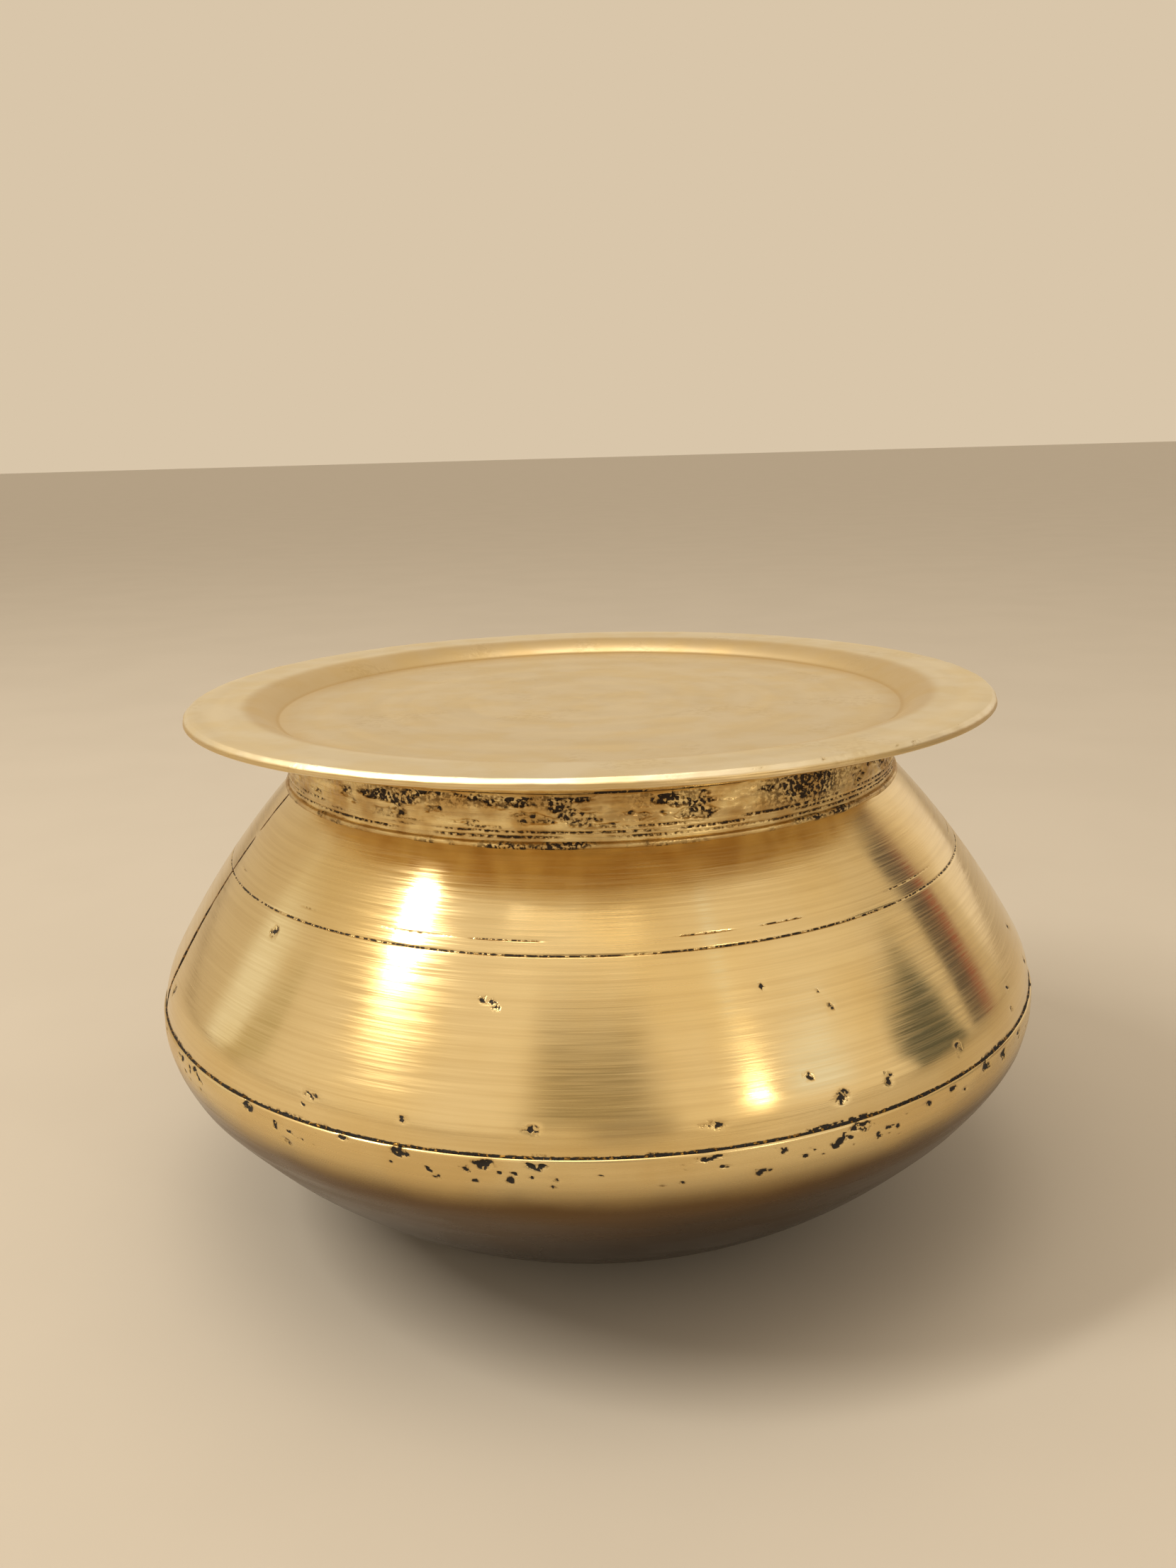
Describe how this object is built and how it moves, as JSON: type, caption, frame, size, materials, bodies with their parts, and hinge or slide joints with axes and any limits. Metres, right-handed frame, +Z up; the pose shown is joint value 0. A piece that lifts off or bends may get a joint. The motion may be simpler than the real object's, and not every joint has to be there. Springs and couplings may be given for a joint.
{
  "type": "lidded cooking pot",
  "caption": "Squat round brass cooking pot with a conical shoulder, a flared lip on a short neck and a loose, dished lid.",
  "frame": {"origin": "centre of the flat middle of the base, on the surface the pot stands on", "axes": "+Z up along the pot's axis; -Y is the side seen in front, so the lengthwise seam is on the -X side"},
  "size_m": [0.3, 0.3, 0.178],
  "materials": {
    "bowl_brass": "smoothed sheet, dulled low down",
    "shoulder_brass": "polished on a lathe, fine rings of brushing",
    "lip_brass": "turned",
    "collar_brass": "rough, with dark pits",
    "lid_brass": "satin, with a filed edge",
    "braze": "rough and oxidised"
  },
  "bodies": {
    "pot": {"bowl": "bowl_brass", "shoulder": "shoulder_brass", "shoulder_strip": "braze", "belly_braze": "braze", "lip": "lip_brass", "collar": "collar_brass", "neck_braze": "braze"},
    "lid": {"lid": "lid_brass"}
  },
  "joints": [
    {"name": "lid_lift", "type": "slide", "parent": "pot", "child": "lid", "axis": [0, 0, 1], "range_m": [0, 0.15]}
  ]
}
